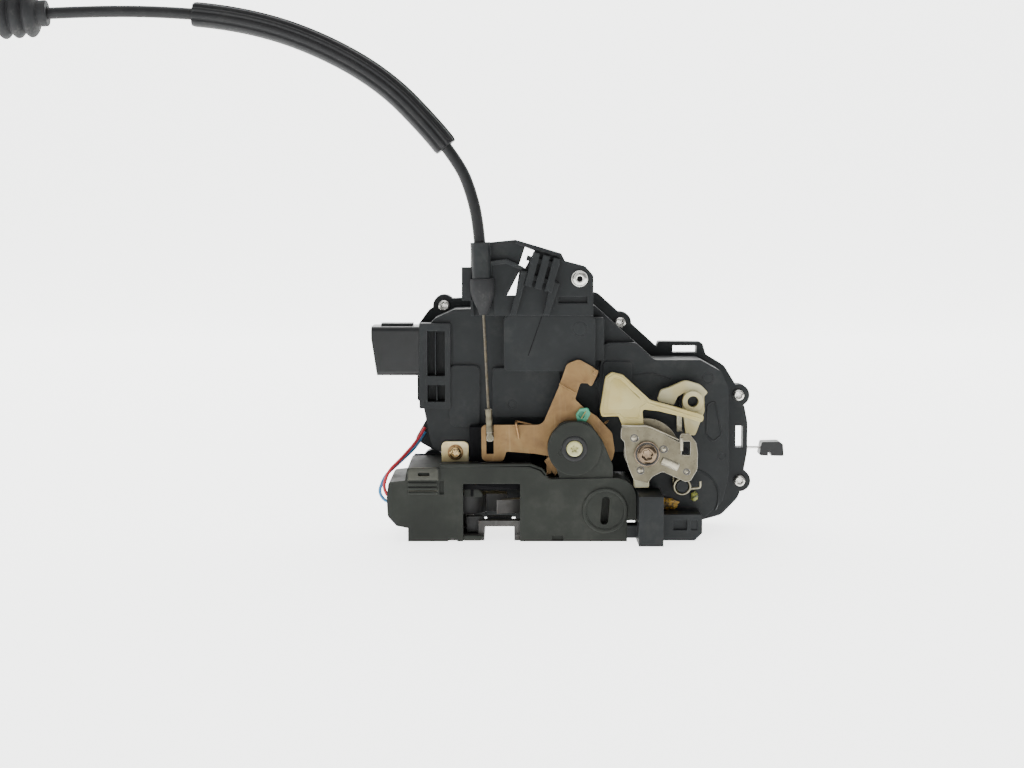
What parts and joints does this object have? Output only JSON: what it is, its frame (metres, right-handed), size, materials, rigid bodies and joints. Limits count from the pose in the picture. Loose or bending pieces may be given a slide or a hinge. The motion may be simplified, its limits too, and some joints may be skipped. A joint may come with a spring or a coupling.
{
  "type": "door latch actuator",
  "caption": "Side-door latch with a power lock actuator: claw, release lever with its cable, key rotor, handle levers and a two-part housing.",
  "frame": {"origin": "midway between the two fixing holes, on the latch face", "axes": "+X along the latch face towards the lock rod, +Z away from the latch face, +Y towards the rear cover"},
  "size_m": [0.4311, 0.071, 0.237],
  "materials": {
    "black_plastic": "fine grain",
    "gloss_black": "gloss",
    "dark_plastic": "satin",
    "sheath_plastic": "satin",
    "rubber": "matte",
    "cream_plastic": "satin",
    "green_plastic": "satin",
    "red_insulation": "satin",
    "blue_insulation": "satin",
    "zinc_steel": "zinc plated",
    "gold_steel": "yellow chromate",
    "chromate_steel": "yellow chromate, worn",
    "bare_steel": "satin",
    "spring_steel": "drawn wire",
    "zinc_alloy": "die cast, dull",
    "brass": "bright"
  },
  "bodies": {
    "latch_body": {"latch_face_plate": "zinc_steel", "latch_bearing_plate": "gold_steel", "latch_cover": "black_plastic", "claw_pin": "bare_steel", "pawl_pin": "bare_steel", "claw_spring": "spring_steel", "pawl_spring": "spring_steel", "striker_bumper": "rubber", "door_switch": "dark_plastic", "guide_block": "black_plastic", "lever_pivot_pin": "cream_plastic", "cable_bracket": "black_plastic", "cable_boot": "rubber", "cable_sheath": "sheath_plastic", "cable_sleeve": "sheath_plastic", "cable_grommet": "rubber", "cable_end_fitting": "zinc_alloy", "shoulder_screw": "zinc_steel", "hook_blade_spring": "spring_steel", "outer_lever_spring": "spring_steel", "front_housing": "black_plastic", "housing_gasket": "rubber", "rear_cover": "black_plastic", "cover_screws": "zinc_steel", "tab_screw": "gold_steel", "bracket_screw": "zinc_steel", "connector_shell": "gloss_black", "connector_pins": "brass", "red_wire": "red_insulation", "blue_wire": "blue_insulation", "lock_motor": "zinc_steel", "wheel_pin": "bare_steel", "circuit_carrier": "dark_plastic", "lock_switches": "black_plastic"},
    "claw": {"claw_core": "bare_steel", "claw_overmould": "dark_plastic"},
    "pawl": {"pawl": "bare_steel"},
    "release_lever": {"release_lever": "chromate_steel", "green_tip": "green_plastic", "lever_spring": "spring_steel"},
    "cable_end": {"inner_cable": "spring_steel", "cable_ferrule": "zinc_alloy"},
    "outer_lever": {"zinc_lever_plate": "zinc_alloy", "outer_handle_lever": "cream_plastic", "lever_backing_disc": "cream_plastic"},
    "hook_lever": {"hook_lever": "cream_plastic"},
    "key_rotor": {"key_rotor": "black_plastic"},
    "drive_wheel": {"drive_wheel": "cream_plastic"},
    "worm": {"worm": "cream_plastic"},
    "lock_slider": {"lock_slider": "cream_plastic", "lock_rod": "zinc_steel", "rod_clip": "black_plastic"}
  },
  "joints": [
    {"name": "claw_turn", "type": "hinge", "parent": "latch_body", "child": "claw", "pos_m": [-0.0155, -0.0005, 0.014], "axis": [0, 0, -1], "range_deg": [0, 55]},
    {"name": "release_lever_turn", "type": "hinge", "parent": "latch_body", "child": "release_lever", "pos_m": [0.0315, -0.011, 0.0405], "axis": [0, 1, 0], "range_deg": [0, 15], "stiffness_Nm_per_rad": 0.5},
    {"name": "pawl_turn", "type": "hinge", "parent": "latch_body", "child": "pawl", "pos_m": [0.017, -0.005, 0.014], "axis": [0, 0, 1], "range_deg": [0, 10]},
    {"name": "cable_end_swing", "type": "hinge", "parent": "release_lever", "child": "cable_end", "pos_m": [-0.0051, -0.011, 0.0445], "axis": [0, 1, 0], "range_deg": [-17.6, 0]},
    {"name": "outer_lever_turn", "type": "hinge", "parent": "latch_body", "child": "outer_lever", "pos_m": [0.0627, -0.0165, 0.0384], "axis": [0, -1, 0], "range_deg": [0, 12], "stiffness_Nm_per_rad": 0.5},
    {"name": "hook_lever_turn", "type": "hinge", "parent": "latch_body", "child": "hook_lever", "pos_m": [0.0831, -0.0097, 0.0603], "axis": [0, -1, 0], "range_deg": [0, 15], "stiffness_Nm_per_rad": 0.3},
    {"name": "key_rotor_turn", "type": "hinge", "parent": "latch_body", "child": "key_rotor", "pos_m": [0.0448, -0.016, 0.0136], "axis": [0, 1, 0], "range_deg": [-60, 60]},
    {"name": "drive_wheel_turn", "type": "hinge", "parent": "latch_body", "child": "drive_wheel", "pos_m": [0.0455, 0.014, 0.0675], "axis": [0, -1, 0], "range_deg": [0, 100]},
    {"name": "worm_turn", "type": "hinge", "parent": "latch_body", "child": "worm", "pos_m": [0.044, 0.014, 0.0835], "axis": [1, 0, 0], "continuous": true},
    {"name": "lock_slide", "type": "slide", "parent": "latch_body", "child": "lock_slider", "axis": [1, 0, 0], "range_m": [0, 0.00785]}
  ],
  "couplings": [
    {"joint": "pawl_turn", "follows": "release_lever_turn", "ratio": 0.6667},
    {"joint": "cable_end_swing", "follows": "release_lever_turn", "ratio": -1.17},
    {"joint": "worm_turn", "follows": "lock_slide", "rad_per_m": 5200},
    {"joint": "drive_wheel_turn", "follows": "lock_slide", "rad_per_m": 200}
  ]
}
